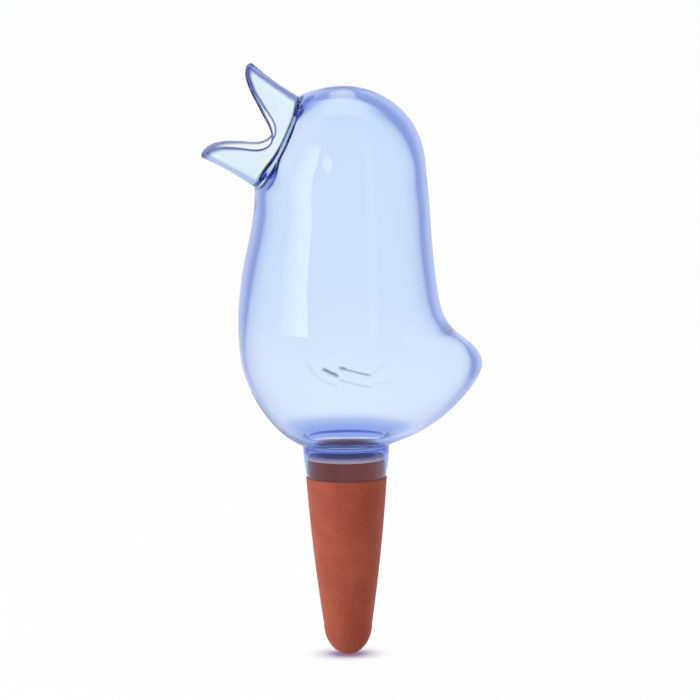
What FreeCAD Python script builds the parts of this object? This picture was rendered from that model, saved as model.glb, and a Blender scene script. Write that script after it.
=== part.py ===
# Bird-shaped watering globe: a clear hollow bird that feeds a porous clay spike in a plant pot.
# Lengths are in millimetres. The origin is on the spike's axis at the soil line, +Z is up,
# the beak points along -X, and the bird is the same on both sides of Y = 0.

import FreeCAD, Part
import math
import os

from FreeCAD import Vector

# Clay spike: a porous hollow cone, pushed into the soil as far as its shoulder
cone_length = 60.4
cone_top_radius = 13.5
cone_end_radius = 8.1
cone_end_height = 10.4
cone_bulge = 0.5
shoulder_round = 0.5
clay_wall = 2.5
clay_floor = 4.2

# Spigot on top of the cone, which plugs into the bird's neck
spigot_radius = 12.8
spigot_height = 6.2
spigot_round = 0.4
spigot_wall = 2.4

# Seal: a soft ring with a short sleeve that plugs into the spigot's bore
seal_thickness = 1.2
seal_sleeve_length = 3.2
seal_sleeve_wall = 0.8

# Room for the neck to turn and lift on the spigot, and for the sleeve in the clay
turning_clearance = 0.08

# Neck: a short tube whose rounded lip rests on the clay shoulder
neck_wall = 1.5
neck_height = 10.2
lip_land = 0.2
lip_round_height = 9.0
lip_knee_height = 5.5

# Bird: how far its skin reaches from the spike's axis, and its height from neck to crown
body_height = 120.9
belly_depth = 35.6
back_depth = 31.0
tail_length = 14.7
body_half_width = 34.4
crown_wall = 3.4

# Plan of the bird: the tail's reach falls off with this power of the cosine of the turn
tail_sharpness = 4
ring_points = 28

# Bird's outline from the neck to just under the crown. Each row gives the height as a share
# of the body's height, then the reach to the front, back, tail and side as shares of theirs,
# then the wall as a share of the crown's, because the blown wall is thin low down.
bird_shares = [
    (0.016, 0.487, 0.555, 0.000, 0.506, 0.36),
    (0.038, 0.594, 0.735, 0.075, 0.645, 0.36),
    (0.081, 0.732, 0.875, 0.350, 0.790, 0.36),
    (0.131, 0.843, 0.950, 0.635, 0.890, 0.36),
    (0.180, 0.919, 0.985, 0.880, 0.945, 0.38),
    (0.229, 0.969, 1.000, 1.000, 0.980, 0.44),
    (0.279, 0.990, 1.000, 0.790, 0.995, 0.56),
    (0.318, 0.998, 1.000, 0.390, 1.000, 0.70),
    (0.364, 0.998, 1.000, 0.140, 0.997, 0.84),
    (0.428, 0.981, 1.000, 0.010, 0.982, 0.96),
    (0.511, 0.938, 0.966, 0.000, 0.948, 1.00),
    (0.610, 0.865, 0.935, 0.000, 0.898, 1.00),
    (0.693, 0.832, 0.916, 0.000, 0.855, 1.00),
    (0.743, 0.820, 0.897, 0.000, 0.831, 1.00),
    (0.806, 0.713, 0.877, 0.000, 0.794, 1.00),
    (0.859, 0.624, 0.823, 0.000, 0.744, 1.00),
    (0.907, 0.539, 0.723, 0.000, 0.657, 1.00),
    (0.947, 0.469, 0.577, 0.000, 0.541, 1.00),
    (0.976, 0.388, 0.400, 0.000, 0.384, 1.00),
    (0.991, 0.230, 0.255, 0.000, 0.233, 1.00),
]

# Beak: an open bill on the face, which is also the filling funnel
beak_height_share = 0.848
beak_front_share = 0.614
beak_tilt_degrees = 32.5
beak_half_height = 16.7
beak_half_width = 12.0
upper_bill_length = 22.4
bill_wall = 1.5

# Bill's skin: distance from the face as a share of the upper bill, then half height and half
# width as shares of the beak's own. The bore follows it and closes before the solid tips.
bill_skin_shares = [
    (-0.36, 1.00, 1.02),
    (0.00, 1.00, 1.00),
    (0.45, 1.00, 0.90),
    (0.76, 1.035, 0.80),
    (1.03, 1.09, 0.66),
]
bill_bore_shares = [
    (-0.36, 1.00, 1.02),
    (0.00, 1.00, 1.00),
    (0.45, 0.985, 0.88),
    (0.72, 0.96, 0.74),
    (0.95, 0.80, 0.46),
]

# Edge of the open bill from above the upper tip, round the corner of the mouth, to below the
# lower tip: distance as a share of the upper bill, height as a share of the half height.
gape_shares = [
    (0.900, 1.150),
    (0.965, 1.075),
    (0.985, 0.980),
    (0.960, 0.862),
    (0.885, 0.755),
    (0.735, 0.605),
    (0.590, 0.497),
    (0.420, 0.365),
    (0.215, 0.207),
    (0.105, -0.018),
    (0.170, -0.210),
    (0.385, -0.385),
    (0.645, -0.578),
    (0.770, -0.713),
    (0.835, -0.845),
    (0.862, -0.960),
    (0.860, -1.040),
    (0.820, -1.110),
]

# Cuts run past the solid by this much
overrun = 5.0

cone_bore_radius = spigot_radius - spigot_wall
neck_bore_radius = spigot_radius + turning_clearance
neck_radius = neck_bore_radius + neck_wall


def arc(start, middle, end):
    return Part.Arc(start, middle, end).toShape()


def line(start, end):
    return Part.makeLine(start, end)


def turned(edges):
    """Solid made by turning a closed outline in the XZ plane about the spike's axis."""
    return Part.Face(Part.Wire(edges)).revolve(Vector(0, 0, 0), Vector(0, 0, 1), 360)


def tube_solid(inner_radius, outer_radius, bottom, top):
    height = top - bottom
    outer = Part.makeCylinder(outer_radius, height, Vector(0, 0, bottom))
    return outer.cut(Part.makeCylinder(inner_radius, height, Vector(0, 0, bottom)))


def bowed(start, control, end, pull=1):
    """Smooth edge that leaves and arrives aimed at the control point."""
    curve = Part.BezierCurve()
    curve.setPoles([start, control, end])
    curve.setWeight(2, pull)
    return curve.toShape()


def bowed_side(top_radius, top, end_radius, end, tip):
    """Edges of a cone's side that bows outwards, and of its oval end down to the axis."""
    control_radius = (top_radius + end_radius) / 2 + 2 * cone_bulge
    shoulder = Vector(top_radius, 0, top)
    knee = Vector(end_radius, 0, end)
    corner = Vector(end_radius, 0, tip)
    return [
        bowed(shoulder, Vector(control_radius, 0, (top + end) / 2), knee),
        bowed(knee, corner, Vector(0, 0, tip), math.cos(math.pi / 4)),
    ]


def rounded_corner(radius, top, size):
    """Arc that rounds the outer top edge of a turned piece."""
    slack = size * (1 - math.cos(math.pi / 4))
    return arc(
        Vector(radius - size, 0, top),
        Vector(radius - slack, 0, top - slack),
        Vector(radius, 0, top - size),
    )


def clay_skin():
    """Outside of the clay: spigot, shoulder, bowed cone and rounded tip."""
    end = cone_end_height - cone_length
    spigot_edge = spigot_radius - spigot_round
    edges = [
        line(Vector(0, 0, -cone_length), Vector(0, 0, spigot_height)),
        line(Vector(0, 0, spigot_height), Vector(spigot_edge, 0, spigot_height)),
        rounded_corner(spigot_radius, spigot_height, spigot_round),
        line(Vector(spigot_radius, 0, spigot_height - spigot_round), Vector(spigot_radius, 0, 0)),
        line(Vector(spigot_radius, 0, 0), Vector(cone_top_radius - shoulder_round, 0, 0)),
        rounded_corner(cone_top_radius, 0, shoulder_round),
    ]
    side = bowed_side(cone_top_radius, -shoulder_round, cone_end_radius, end, -cone_length)
    return turned(edges + side)


def clay_hollow():
    """Water space in the clay: a straight bore in the spigot that tapers down the cone."""
    end = cone_end_height - cone_length
    floor = clay_floor - cone_length
    top = spigot_height + overrun
    edges = [
        line(Vector(0, 0, floor), Vector(0, 0, top)),
        line(Vector(0, 0, top), Vector(cone_bore_radius, 0, top)),
        line(Vector(cone_bore_radius, 0, top), Vector(cone_bore_radius, 0, 0)),
    ]
    return turned(edges + bowed_side(cone_bore_radius, 0, cone_end_radius - clay_wall, end, floor))


def terracotta_spike():
    return clay_skin().cut(clay_hollow())


def neck_seal():
    """Flat ring on the spigot's end face, with a sleeve down its bore."""
    sleeve_radius = cone_bore_radius - turning_clearance
    opening_radius = sleeve_radius - seal_sleeve_wall
    top = spigot_height + seal_thickness
    ring = tube_solid(opening_radius, spigot_radius, spigot_height, top)
    sleeve_end = spigot_height - seal_sleeve_length
    return ring.fuse(tube_solid(opening_radius, sleeve_radius, sleeve_end, top)).removeSplitter()


def bird_ring(height, front, back, tail, side):
    """Closed level curve of the bird, with the tail drawn out behind it."""
    points = []
    for step in range(ring_points):
        turn = 2 * math.pi * step / ring_points
        forward = math.cos(turn)
        if forward > 0:
            x = back * forward + tail * forward ** tail_sharpness
        else:
            x = front * forward
        points.append(Vector(x, side * math.sin(turn), height))
    curve = Part.BSplineCurve()
    curve.interpolate(Points=points, PeriodicFlag=True)
    return Part.Wire([curve.toShape()])


def bird_form(wall):
    """The bird as a full solid, drawn in on every side by its share of the wall."""
    floor_inset = wall * bird_shares[0][-1]
    bottom = neck_height + floor_inset
    height = body_height - floor_inset - wall
    throat = neck_radius - neck_wall / 2 - floor_inset
    rings = [bird_ring(bottom, throat, throat, 0, throat)]
    for height_share, front_share, back_share, tail_share, side_share, wall_share in bird_shares:
        inset = wall * wall_share
        rings.append(
            bird_ring(
                bottom + height * height_share,
                belly_depth * front_share - inset,
                back_depth * back_share - inset,
                (tail_length - inset) * tail_share,
                body_half_width * side_share - inset,
            )
        )
    crown = Part.Vertex(Vector(0, 0, bottom + height))
    return Part.makeLoft(rings + [crown], True, False, False)


def neck_plug():
    """Outside of the neck, from its rounded lip up into the belly."""
    top = neck_height + neck_wall
    land = Vector(neck_bore_radius + lip_land, 0, 0)
    knee = Vector(neck_radius, 0, lip_knee_height)
    side = Vector(neck_radius, 0, lip_round_height)
    return turned(
        [
            line(Vector(0, 0, top), Vector(0, 0, 0)),
            line(Vector(0, 0, 0), land),
            bowed(land, knee, side),
            line(side, Vector(neck_radius, 0, top)),
            line(Vector(neck_radius, 0, top), Vector(0, 0, top)),
        ]
    )


def neck_bore():
    height = overrun + neck_height + 2 * neck_wall
    return Part.makeCylinder(neck_bore_radius, height, Vector(0, 0, -overrun))


def beak_point(along, up, across):
    """Place of a point given from the middle of the face: out along the bill, up and across."""
    tilt = math.radians(beak_tilt_degrees)
    x = -belly_depth * beak_front_share - along * math.cos(tilt) + up * math.sin(tilt)
    z = neck_height + body_height * beak_height_share + along * math.sin(tilt) + up * math.cos(tilt)
    return Vector(x, across, z)


def bill_ring(along, half_height, half_width):
    """Oval across the bill."""
    points = []
    for step in range(ring_points):
        turn = 2 * math.pi * step / ring_points
        points.append(beak_point(along, half_height * math.cos(turn), half_width * math.sin(turn)))
    curve = Part.BSplineCurve()
    curve.interpolate(Points=points, PeriodicFlag=True)
    return Part.Wire([curve.toShape()])


def bill_form(shares, inset):
    """The bill before it is opened, or its bore, as a full solid."""
    rings = []
    for length_share, height_share, width_share in shares:
        rings.append(
            bill_ring(
                upper_bill_length * length_share,
                beak_half_height * height_share - inset,
                beak_half_width * width_share - inset,
            )
        )
    return Part.makeLoft(rings, True, False, False)


def gape():
    """Space between and beyond the two halves of the open bill, cut straight across."""
    side = -beak_half_width - overrun
    edge = [
        beak_point(upper_bill_length * along_share, beak_half_height * up_share, side)
        for along_share, up_share in gape_shares
    ]
    rim = Part.BSplineCurve()
    rim.interpolate(Points=edge)
    beyond = upper_bill_length + 2 * overrun
    above = beak_half_height * gape_shares[0][1]
    below = beak_half_height * gape_shares[-1][1]
    upper_corner = beak_point(beyond, above, side)
    lower_corner = beak_point(beyond, below, side)
    outline = Part.Wire(
        [
            rim.toShape(),
            line(edge[-1], lower_corner),
            line(lower_corner, upper_corner),
            line(upper_corner, edge[0]),
        ]
    )
    return Part.Face(outline).extrude(Vector(0, -2 * side, 0))


def bird_reservoir():
    """Hollow bird with its neck, open below and where the beak is joined on."""
    skin = bird_form(0).fuse(neck_plug())
    hollow = bird_form(crown_wall).fuse(neck_bore())
    return skin.cut(hollow).cut(bill_form(bill_bore_shares, bill_wall))


def filling_beak():
    """Open bill, trimmed where it is joined to the skin of the face."""
    bill = bill_form(bill_skin_shares, 0).cut(bill_form(bill_bore_shares, bill_wall))
    return bill.cut(gape()).cut(bird_form(0))


pieces = {
    "terracotta_spike": terracotta_spike,
    "neck_seal": neck_seal,
    "bird_reservoir": bird_reservoir,
    "filling_beak": filling_beak,
}

os.makedirs("parts", exist_ok=True)
for name, make in pieces.items():
    shape = make()
    shape.exportStep("parts/" + name + ".step")
    box = shape.BoundBox
    print(
        name,
        "solids", len(shape.Solids),
        "valid", shape.isValid(),
        "volume", round(shape.Volume),
        "x", round(box.XMin, 2), round(box.XMax, 2),
        "y", round(box.YMin, 2), round(box.YMax, 2),
        "z", round(box.ZMin, 2), round(box.ZMax, 2),
    )
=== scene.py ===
# %% [markdown]
# # A bird-shaped watering globe
#
# The object is a hollow clear bird on a porous clay spike. The bird is filled through its open
# beak, the spike is pushed into the soil of a plant pot, and the clay lets the water out as the
# soil dries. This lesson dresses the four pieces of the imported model: the bird, its beak, the soft
# seal in the neck and the clay spike. All lengths are in metres, in the frame of the model: the
# origin is on the spike's axis at the soil line, +Z is up and the beak points along -X.

# %% Load the frame
import math

import bpy
import numpy as np
from mathutils import Matrix, Vector


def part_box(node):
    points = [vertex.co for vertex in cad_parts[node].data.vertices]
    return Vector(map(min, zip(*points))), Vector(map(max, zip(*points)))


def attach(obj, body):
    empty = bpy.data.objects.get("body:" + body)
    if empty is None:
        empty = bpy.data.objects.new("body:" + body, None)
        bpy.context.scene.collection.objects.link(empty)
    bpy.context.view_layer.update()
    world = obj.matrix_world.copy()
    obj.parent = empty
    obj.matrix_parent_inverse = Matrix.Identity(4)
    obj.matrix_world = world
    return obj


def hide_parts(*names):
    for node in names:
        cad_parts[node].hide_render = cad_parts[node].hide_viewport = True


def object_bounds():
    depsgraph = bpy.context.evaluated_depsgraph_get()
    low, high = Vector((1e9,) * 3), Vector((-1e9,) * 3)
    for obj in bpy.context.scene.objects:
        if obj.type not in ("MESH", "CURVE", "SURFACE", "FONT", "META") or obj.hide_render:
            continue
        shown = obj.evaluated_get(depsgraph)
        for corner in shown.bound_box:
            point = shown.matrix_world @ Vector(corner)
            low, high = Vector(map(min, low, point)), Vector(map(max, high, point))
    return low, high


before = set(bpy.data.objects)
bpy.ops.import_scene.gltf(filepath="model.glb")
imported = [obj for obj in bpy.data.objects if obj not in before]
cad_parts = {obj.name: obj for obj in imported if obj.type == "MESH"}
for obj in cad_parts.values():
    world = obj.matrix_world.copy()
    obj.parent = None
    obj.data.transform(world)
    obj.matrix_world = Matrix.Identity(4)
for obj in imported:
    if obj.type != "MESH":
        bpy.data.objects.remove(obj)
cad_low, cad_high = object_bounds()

print("nodes", sorted(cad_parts), "box", tuple(cad_low), tuple(cad_high))

# %% [markdown]
# ## Sizes
#
# The modelled meshes lie where the solids lie, so the sizes come from the frame where it can be
# measured, and the rest are the solids' own: walls, clearances and the outline of the bird. The
# outline is a short table of shares, one row for each level, and a smooth curve joins the rows.

# %% Sizes of the four pieces
spike_low, spike_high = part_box("terracotta_spike")
seal_low, seal_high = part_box("neck_seal")
bird_low, bird_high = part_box("bird_reservoir")

cone_length = -spike_low.z
cone_top_radius = spike_high.x
cone_end_radius = 0.0081
cone_end_height = 0.0104
cone_bulge = 0.0005
shoulder_round = 0.0005
clay_wall = 0.0025
clay_floor = 0.0042
spigot_radius = 0.0128
spigot_height = spike_high.z
spigot_round = 0.0004
spigot_wall = 0.0024
turning_clearance = 0.00008
box_margin = 0.00001
seal_sleeve_wall = 0.0008
neck_wall = 0.0015
neck_height = 0.0102
lip_land = 0.0002
lip_round_height = 0.009
lip_knee_height = 0.0055
body_height = bird_high.z - neck_height
belly_depth = 0.0356
back_depth = 0.031
tail_length = bird_high.x - back_depth
body_half_width = min(bird_high.y, -bird_low.y) - box_margin
crown_wall = 0.0034

cone_bore_radius = spigot_radius - spigot_wall
neck_bore_radius = spigot_radius + turning_clearance
neck_radius = neck_bore_radius + neck_wall
print("cone", round(cone_length, 4), "body", round(body_height, 4), "tail", round(tail_length, 4))

# %% Outline of the bird
# Each row: height, then reach to the front, back, tail and side, then the wall, all as shares.
bird_shares = [
    (0.016, 0.487, 0.555, 0.000, 0.506, 0.40),
    (0.038, 0.594, 0.735, 0.075, 0.645, 0.37),
    (0.081, 0.732, 0.875, 0.350, 0.790, 0.36),
    (0.131, 0.843, 0.950, 0.635, 0.890, 0.36),
    (0.180, 0.919, 0.985, 0.880, 0.945, 0.38),
    (0.229, 0.969, 1.000, 1.000, 0.980, 0.44),
    (0.279, 0.990, 1.000, 0.790, 0.995, 0.56),
    (0.318, 0.998, 1.000, 0.390, 1.000, 0.70),
    (0.364, 0.998, 1.000, 0.140, 0.997, 0.84),
    (0.428, 0.981, 1.000, 0.010, 0.982, 0.96),
    (0.511, 0.938, 0.966, 0.000, 0.948, 1.00),
    (0.610, 0.865, 0.935, 0.000, 0.898, 1.00),
    (0.693, 0.832, 0.916, 0.000, 0.855, 1.00),
    (0.743, 0.820, 0.897, 0.000, 0.831, 1.00),
    (0.806, 0.713, 0.877, 0.000, 0.794, 1.00),
    (0.859, 0.624, 0.823, 0.000, 0.744, 1.00),
    (0.907, 0.539, 0.723, 0.000, 0.657, 1.00),
    (0.947, 0.469, 0.577, 0.000, 0.541, 1.00),
    (0.976, 0.388, 0.400, 0.000, 0.384, 1.00),
    (0.991, 0.230, 0.255, 0.000, 0.233, 1.00),
]
tail_sharpness = 4
height_column, front_column, side_column = 0, 1, 4


def level_rows(wall):
    """Rows of (height, front, back, tail, side) from the neck to the crown, drawn in by the wall."""
    floor_inset = wall * bird_shares[0][-1]
    bottom = neck_height + floor_inset
    height = body_height - floor_inset - wall
    throat = neck_radius - neck_wall / 2 - floor_inset
    rows = [(bottom, throat, throat, 0, throat)]
    for height_share, front, back, tail, side, wall_share in bird_shares:
        inset = wall * wall_share
        level = bottom + height * height_share
        reach = belly_depth * front - inset, back_depth * back - inset, (tail_length - inset) * tail
        rows.append((level, *reach, body_half_width * side - inset))
    rows.append((bottom + height, 0, 0, 0, 0))
    return np.array(rows)


print("levels", len(level_rows(0)))

# %% [markdown]
# ## Smooth curves through a few rows
#
# A bird blown from one tube of plastic has no corners, so straight steps between the rows would
# show at once in the clear wall. A natural cubic spline gives a curve that bends steadily. It is
# measured along its own length, and past the crown the rows are mirrored, so that the curve is
# level where it meets the axis and the crown comes out round instead of pointed.

# %% A smooth curve through rows


class SmoothCurve:
    """Natural cubic spline through the rows of a table, by distance along it."""

    def __init__(self, rows):
        self.rows = np.array(rows, float)
        steps = np.linalg.norm(np.diff(self.rows, axis=0), axis=1)
        self.knots = np.concatenate([[0.0], np.cumsum(steps)])
        count = len(self.rows)
        system = np.eye(count)
        target = np.zeros_like(self.rows)
        slopes = np.diff(self.rows, axis=0) / steps[:, None]
        for row in range(1, count - 1):
            before, after = steps[row - 1], steps[row]
            system[row, row - 1 : row + 2] = before, 2 * (before + after), after
            target[row] = 6 * (slopes[row] - slopes[row - 1])
        self.bend = np.linalg.solve(system, target)

    def __call__(self, places):
        places = np.atleast_1d(np.asarray(places, float))
        span = np.clip(np.searchsorted(self.knots, places) - 1, 0, len(self.knots) - 2)
        step = (self.knots[span + 1] - self.knots[span])[:, None]
        right = (places - self.knots[span])[:, None] / step
        left = 1 - right
        chord = left * self.rows[span] + right * self.rows[span + 1]
        sag = (left**3 - left) * self.bend[span] + (right**3 - right) * self.bend[span + 1]
        return chord + sag * step**2 / 6


def crowned_curve(rows, mirrored=4):
    """Smooth curve of the levels, and the place along it where it reaches the axis."""
    past = rows[-2 : -2 - mirrored : -1] * np.array([1, -1, -1, -1, -1])
    curve = SmoothCurve(np.vstack([rows, past]))
    return curve, curve.knots[len(rows) - 1]


skin_curve, skin_crown = crowned_curve(level_rows(0))
hollow_curve, hollow_crown = crowned_curve(level_rows(crown_wall))
print("skin length", round(skin_crown, 4), "top", skin_curve(skin_crown)[0].round(4))

# %% [markdown]
# ## The skin of the bird as a grid
#
# The bird is one closed wall: up the outside, over the crown, and down again inside, joined at the
# neck's lip. A lofted grid fits it better than a sculpted ball, because each level is an exact
# curve and each column runs true from lip to crown. The columns stand closer at the two sides,
# where the feathers are, and the rows stand closer at the heights of the wing and the eye.

# %% Rings and rows of the grid
column_count = 264
column_crowding = 0.28
row_step = 0.0010
fine_row_step = 0.00030
hollow_row_step = 1.7 * row_step
hollow_fine_step = 1.3 * row_step
wing_levels = (0.0335, 0.0445)
eye_levels = (0.101, 0.1165)
curve_samples = 4000

column_places = 2 * math.pi * np.arange(column_count) / column_count
column_turns = column_places + column_crowding / 2 * np.sin(2 * column_places)


def ring_points(row, turns=column_turns):
    """Closed level curve: an oval whose back is drawn out into the tail."""
    height, front, back, tail, side = row
    forward = np.cos(turns)
    rear = np.clip(forward, 0, None)
    x = np.where(forward > 0, back * forward + tail * rear**tail_sharpness, front * forward)
    return np.column_stack([x, side * np.sin(turns), np.full_like(x, height)])


def bent(start, corner, end, count):
    """Rows, or whole rings, along a smooth bend that leaves and arrives aimed at the corner."""
    start, corner, end = np.array(start), np.array(corner), np.array(end)
    t = np.linspace(0, 1, count).reshape(-1, *[1] * start.ndim)
    return (1 - t) ** 2 * start + 2 * t * (1 - t) * corner + t**2 * end


def round_row(height, radius):
    return (height, radius, radius, 0, radius)


def even_places(curve, start, end, coarse, fine):
    """Places along a curve, closer together at the levels of the wing and the eye."""
    dense = np.linspace(start, end, curve_samples)
    rows = curve(dense)
    heights = rows[:, height_column]
    lengths = np.hypot(np.diff(heights), np.diff(rows[:, side_column]))
    middle = (heights[1:] + heights[:-1]) / 2
    steps = np.full_like(middle, coarse)
    for low, high in (wing_levels, eye_levels):
        steps[(middle > low) & (middle < high)] = fine
    count = np.concatenate([[0.0], np.cumsum(lengths / steps)])
    return np.interp(np.linspace(0, count[-1], int(count[-1]) + 2), count, dense)


def place_at_radius(curve, radius, crown):
    """Place along the curve, near the neck, where the side reaches this radius."""
    dense = np.linspace(0, crown / 4, curve_samples // 2)
    return np.interp(radius, curve(dense)[:, side_column], dense)


print("columns", column_count, "closest", round(float(np.diff(column_turns).min()), 4))

# %% [markdown]
# ## The neck and the way into it
#
# The skin turns into the neck in a short bend, and the neck ends in a lip that thins to its edge.
# Inside, the floor of the hollow runs into the neck's bore as a small funnel, so that no water
# stays behind. Both bends are part of the same grid, so the wall stays one closed surface.

# %% Levels of the bird's wall, from the crown down the outside and up the inside
bend_reach = 0.0008
funnel_reach = 0.0018
lip_row_count = 18
bend_row_count = 8
bore_row_count = 9
funnel_row_count = 12

skin_start = place_at_radius(skin_curve, neck_radius + bend_reach, skin_crown)
skin_foot = place_at_radius(skin_curve, neck_radius, skin_crown)
hollow_start = place_at_radius(hollow_curve, neck_bore_radius + funnel_reach, hollow_crown)

skin_rows = skin_curve(even_places(skin_curve, skin_start, skin_crown, row_step, fine_row_step))
hollow_rows = hollow_curve(
    even_places(hollow_curve, hollow_start, hollow_crown, hollow_row_step, hollow_fine_step)
)
crease = skin_curve(skin_foot)[0, height_column]
lip = [
    round_row(0, neck_bore_radius + lip_land),
    round_row(lip_knee_height, neck_radius),
    round_row(lip_round_height, neck_radius),
]
bend = [round_row(crease - bend_reach, neck_radius), round_row(crease, neck_radius), skin_rows[0]]
outer_neck = np.vstack([bent(*lip, lip_row_count), bent(*bend, bend_row_count)])
funnel_top = hollow_rows[0, height_column]
bore_heights = np.linspace(0, funnel_top - funnel_reach, bore_row_count)
bore_rows = [round_row(height, neck_bore_radius) for height in bore_heights]
funnel = bent(bore_rows[-1], round_row(funnel_top, neck_bore_radius), hollow_rows[0], funnel_row_count)
outside = np.vstack([outer_neck, skin_rows[1:]])[::-1]
inside = np.vstack([bore_rows, funnel[1:], hollow_rows[1:]])
print("rows outside", len(outside), "inside", len(inside))

# %% [markdown]
# ## From rings to a mesh
#
# Writing points and faces straight into a mesh keeps the grid exact. Each ring is joined to the
# next by one band of faces, and a ring of a single point closes the crown without a seam.

# %% Mesh from a grid of rings


def ring_mesh(name, rings, closed=False):
    """Mesh through rings of points. A ring of one point is a pole, and closed joins the ends."""
    starts = np.cumsum([0] + [len(ring) for ring in rings])
    faces = []
    for upper in range(len(rings) if closed else len(rings) - 1):
        lower = (upper + 1) % len(rings)
        count = max(len(rings[upper]), len(rings[lower]))
        for here in range(count):
            sides = (upper, here), (lower, here), (lower, here + 1), (upper, here + 1)
            corners = [starts[ring] + place % len(rings[ring]) for ring, place in sides]
            faces.append(tuple(dict.fromkeys(corners)))
    mesh = bpy.data.meshes.new(name)
    mesh.from_pydata(np.vstack(rings).tolist(), [], faces)
    mesh.validate()
    return mesh


def points_of(vertices):
    return np.array([vertex.co for vertex in vertices])


def enclosed_volume(mesh):
    """Volume inside a closed mesh: positive if its faces point outwards."""
    mesh.calc_loop_triangles()
    points = points_of(mesh.vertices)
    corners = np.array([triangle.vertices for triangle in mesh.loop_triangles])
    a, b, c = (points[corners[:, index]] for index in range(3))
    return float((a * np.cross(b, c)).sum() / 6)


def new_object(name, data):
    piece = bpy.data.objects.new(name, data)
    bpy.context.scene.collection.objects.link(piece)
    return piece


def built_mesh(piece):
    """Plain mesh of an object as its modifiers leave it."""
    view = bpy.context.evaluated_depsgraph_get()
    return bpy.data.meshes.new_from_object(piece.evaluated_get(view))


crowns = [np.array([(0, 0, row[height_column])]) for row in (outside[0], inside[-1])]
walls = [ring_points(row) for row in np.vstack([outside[1:], inside[:-1]])]
rings = crowns[:1] + walls + crowns[1:]
reservoir_mesh = ring_mesh("clear_bird", rings)
outer_count = 1 + column_count * (len(outside) - 1)
print("plastic", round(enclosed_volume(reservoir_mesh) * 1e6, 2), "ml before the beak is opened")

# %% [markdown]
# ## Eyes and feathers
#
# The mould gives the bird a round eye and a wing on each side. They show only as faint lines,
# where the step bends the light. A bump in the finish would not bend the light that goes through,
# so the skin itself is moved: the eye is a low dome that catches the light, and each feather ends
# in a narrow groove, darkened with painted shade. The near side has the full depth. The far side is
# shallower, because nothing of its wing shows through the clear body in the photograph. The painted
# shade is a colour of the mesh's points, called shade, by which the finish is multiplied.

# %% Relief of the eyes and the wings
eye_place = (-0.0014, 0.1086)
eye_radius = 0.0050
eye_height = 0.0012
eye_fullness = 1.25
wing_side = 0.02
far_share = 0.12
far_painted_shade = 0.04
# Painted shade: the colour that darkens the feather grooves, in place of the dark lines of bent light.
painted_groove_colour = (0.05, 0.07, 0.07)

# Each groove: half width, depth, then its places seen from the side as X and height.
feather_grooves = [
    (0.00110, 0.00060, [(-0.0070, 0.0411), (-0.0045, 0.0398), (-0.0028, 0.0391)]),
    (0.00095, 0.00056, [(-0.0016, 0.0416), (0.0000, 0.0413)]),
    (0.00065, 0.00046, [(-0.0012, 0.0415), (0.0040, 0.0400), (0.0080, 0.0389)]),
    (0.00070, 0.00009, [(0.0082, 0.0388), (0.0099, 0.0404), (0.0133, 0.0423)]),
    (0.00080, 0.00012, [(-0.0125, 0.0430), (-0.0108, 0.0400), (-0.0079, 0.0376), (-0.0032, 0.0354)]),
    (0.00065, 0.00020, [(-0.0015, 0.0375), (0.0040, 0.0359), (0.0082, 0.0349)]),
    (0.00070, 0.00006, [(0.0082, 0.0349), (0.0110, 0.0364), (0.0160, 0.0361)]),
]
deepest_groove = max(groove[1] for groove in feather_grooves)


def smooth(share):
    share = np.clip(share, 0, 1)
    return share * share * (3 - 2 * share)


def from_line(points, line):
    """Distance of points from a line of straight pieces."""
    nearest = np.full(len(points), np.inf)
    for start, end in zip(np.array(line), np.array(line)[1:]):
        along = end - start
        share = np.clip((points - start) @ along / (along @ along), 0, 1)
        offset = points - start - share[:, None] * along
        nearest = np.minimum(nearest, np.linalg.norm(offset, axis=1))
    return nearest


def relief(points):
    """Depth to which each point of the skin is pressed in, and the painted shade in its grooves."""
    seen = points[:, [0, 2]]
    from_eye = np.linalg.norm(seen - eye_place, axis=1)
    depth = -eye_height * np.clip(1 - (from_eye / eye_radius) ** 2, 0, 1) ** eye_fullness
    painted_groove_shade = np.zeros(len(points))
    for half_width, deepest, line in feather_grooves:
        groove = smooth(1 - from_line(seen, line) / half_width)
        depth += np.maximum(deepest * groove - np.maximum(depth, 0), 0)
        # Painted shade, darkest in the deepest grooves.
        painted_groove_shade = np.maximum(painted_groove_shade, deepest / deepest_groove * groove)
    at_side = np.abs(points[:, 1]) > wing_side
    far = points[:, 1] > 0
    depth = depth * at_side * np.where(far, far_share, 1)
    painted_groove_shade = painted_groove_shade * at_side * np.where(far, far_painted_shade, 1)
    return depth, painted_groove_shade


def normals_of(vertices):
    return np.array([vertex.normal for vertex in vertices])


def move_points(mesh, first, places):
    """Put the points of a mesh, from the first one on, at new places."""
    for vertex, place in zip(mesh.vertices[first:], places):
        vertex.co = place
    mesh.update()


skin = reservoir_mesh.vertices[:outer_count]
skin_points = points_of(skin)
depths, painted_groove_shade = relief(skin_points)
move_points(reservoir_mesh, 0, skin_points - normals_of(skin) * depths[:, None])
print("relief is up to", round(depths.max() * 1000, 2), "mm deep")

# %% [markdown]
# ## A deeper blue round the throat
#
# The photograph shows a soft dark-blue zone above the neck: partly a deeper tint where the plastic
# gathers, partly the darker look of the light bent through the neck. A stronger tint in the finish
# would darken the whole bird, and a thicker floor would bend the light too much. So the points near
# the neck carry a deeper colour that is partly painted shade: the inner wall round the funnel, and
# the skin just above the crease.

# %% Shade by height and by distance from the axis
# Each zone: radius, lower end, rise above it, upper end, then the width of the fade.
throat_zone = (0.0215, 0.0070, 0.0022, 0.0205, 0.0075)
# Deeper tint of gathered plastic, partly painted shade of the light bent through the neck.
throat_tint_and_shade = (0.34, 0.42, 0.80)
crease_zone = (0.0255, 0.0078, 0.0006, 0.0185, 0.0050)
# Deeper tint just above the crease, partly painted shade in the crease.
crease_tint_and_shade = (0.38, 0.47, 0.90)


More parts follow.
